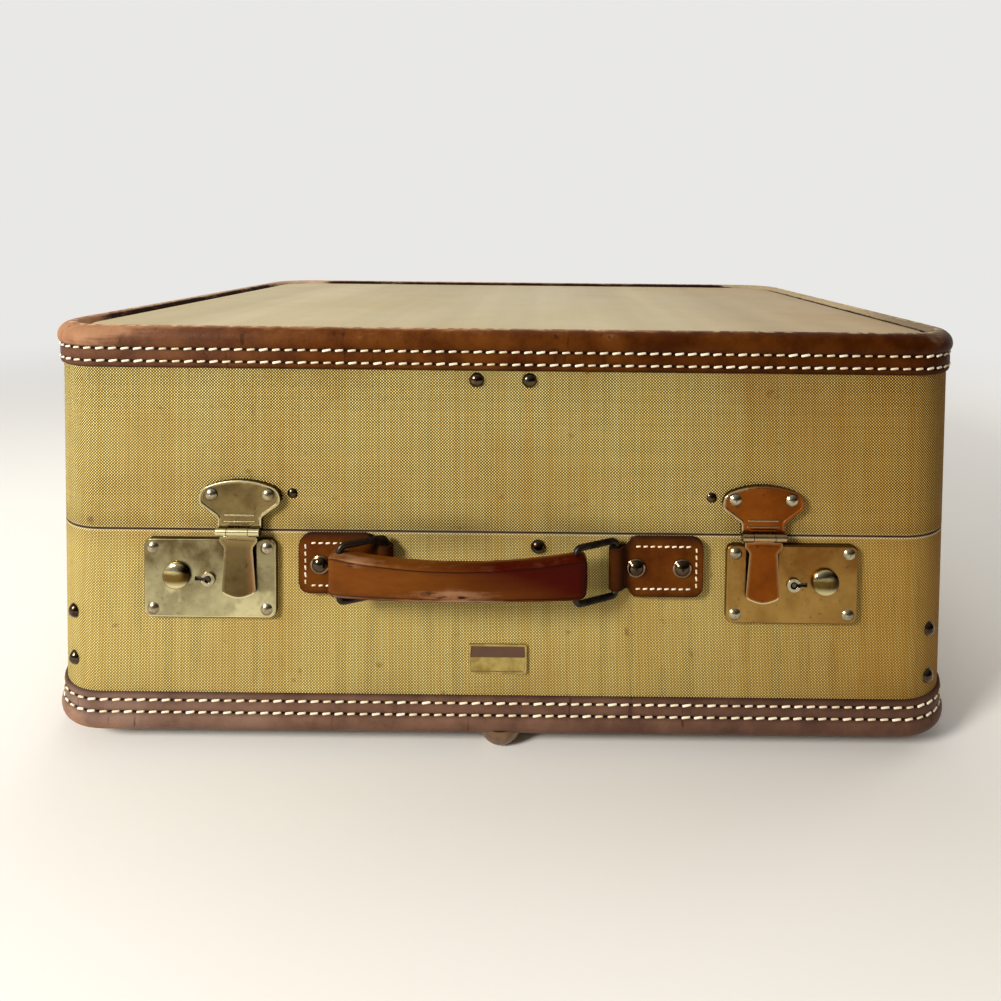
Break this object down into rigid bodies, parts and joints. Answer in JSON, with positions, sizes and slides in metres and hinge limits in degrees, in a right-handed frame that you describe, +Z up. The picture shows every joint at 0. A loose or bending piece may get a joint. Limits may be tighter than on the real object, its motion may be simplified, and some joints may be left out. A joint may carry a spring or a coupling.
{
  "type": "vintage suitcase",
  "caption": "Hard suitcase of canvas-covered board with stitched leather binding, hinged lid, hasp locks with sliding catches and a leather handle on swinging wire rings.",
  "frame": {"origin": "under the middle of the whole case, on the surface that its feet stand on", "axes": "+X along the front to the viewer's right, -Y out of the lock side, +Z up"},
  "size_m": [0.506, 0.3868, 0.228],
  "materials": {
    "canvas": "coarse plain-weave canvas on board",
    "panel_canvas": "glazed canvas on board",
    "binding_leather": "brown saddle leather, worn on the edges",
    "handle_leather": "glossy chestnut leather",
    "tab_leather": "brown strap leather",
    "lining": "plain lining cloth",
    "board": "thin board",
    "lock_brass": "aged brass",
    "knob_brass": "polished brass",
    "rivet_nickel": "nickel",
    "rivet_bronze": "dark bronze",
    "foot_brass": "aged brass",
    "ring_steel": "blackened wire",
    "inner_steel": "plain steel",
    "badge": "bare brass and brown enamel"
  },
  "bodies": {
    "base": {"base_rim": "canvas", "base_panel": "panel_canvas", "base_binding": "binding_leather", "inner_band": "board", "base_lining": "lining", "bottom_feet": "foot_brass", "base_studs": "foot_brass", "corner_rivets": "rivet_bronze", "front_rivet": "rivet_bronze", "badge_plate": "badge", "lock_plate_left": "lock_brass", "lock_plate_right": "lock_brass", "lock_back_left": "inner_steel", "lock_back_right": "inner_steel", "key_barrel_left": "knob_brass", "key_barrel_right": "knob_brass", "lock_rivets": "rivet_nickel", "lock_spring_left": "inner_steel", "lock_spring_right": "inner_steel", "handle_tab_left": "tab_leather", "handle_tab_right": "tab_leather", "tab_rivets": "rivet_bronze", "base_hinge_left": "lock_brass", "base_hinge_right": "lock_brass", "hinge_pins": "inner_steel", "base_hinge_rivets": "rivet_nickel"},
    "lid": {"lid_rim": "canvas", "lid_panel": "panel_canvas", "lid_binding": "binding_leather", "lid_lining": "lining", "hasp_plate_left": "lock_brass", "hasp_plate_right": "lock_brass", "hasp_pins": "inner_steel", "hasp_rivets": "rivet_nickel", "lid_rivets": "rivet_bronze", "hasp_side_rivets": "rivet_bronze", "lid_hinge_left": "lock_brass", "lid_hinge_right": "lock_brass", "lid_hinge_rivets": "rivet_nickel", "lid_studs": "foot_brass"},
    "hasp_left": {"hasp_tongue_left": "lock_brass"},
    "hasp_right": {"hasp_tongue_right": "lock_brass"},
    "catch_left": {"lock_slide_left": "inner_steel", "slide_knob_left": "knob_brass"},
    "catch_right": {"lock_slide_right": "inner_steel", "slide_knob_right": "knob_brass"},
    "ring_left": {"handle_ring_left": "ring_steel"},
    "ring_right": {"handle_ring_right": "ring_steel"},
    "handle": {"handle_grip": "handle_leather", "handle_core": "inner_steel"}
  },
  "joints": [
    {"name": "lid_hinge", "type": "hinge", "parent": "base", "child": "lid", "pos_m": [0, 0.18684, 0.119], "axis": [-1, 0, 0], "range_deg": [0, 100]},
    {"name": "hasp_left", "type": "hinge", "parent": "lid", "child": "hasp_left", "pos_m": [-0.139, -0.17116, 0.1198], "axis": [-1, 0, 0], "range_deg": [0, 150]},
    {"name": "hasp_right", "type": "hinge", "parent": "lid", "child": "hasp_right", "pos_m": [0.139, -0.17116, 0.1198], "axis": [-1, 0, 0], "range_deg": [0, 150]},
    {"name": "catch_left", "type": "slide", "parent": "base", "child": "catch_left", "axis": [-1, 0, 0], "range_m": [0, 0.004], "stiffness_N_per_m": 150, "springref_m": -0.002, "deforming": ["lock_spring_left"]},
    {"name": "catch_right", "type": "slide", "parent": "base", "child": "catch_right", "axis": [1, 0, 0], "range_m": [0, 0.004], "stiffness_N_per_m": 150, "springref_m": -0.002, "deforming": ["lock_spring_right"]},
    {"name": "ring_left", "type": "hinge", "parent": "base", "child": "ring_left", "pos_m": [-0.061, -0.17041, 0.1025], "axis": [0, 0, 1], "range_deg": [0, 128]},
    {"name": "ring_right", "type": "hinge", "parent": "base", "child": "ring_right", "pos_m": [0.061, -0.17041, 0.1025], "axis": [0, 0, 1], "range_deg": [0, 128]},
    {"name": "handle", "type": "hinge", "parent": "ring_left", "child": "handle", "pos_m": [-0.08257, -0.18094, 0.1025], "axis": [0, 0, 1], "range_deg": [-128, 0]}
  ],
  "couplings": [
    {"joint": "ring_right", "follows": "ring_left", "ratio": 1},
    {"joint": "handle", "follows": "ring_left", "ratio": -1}
  ]
}
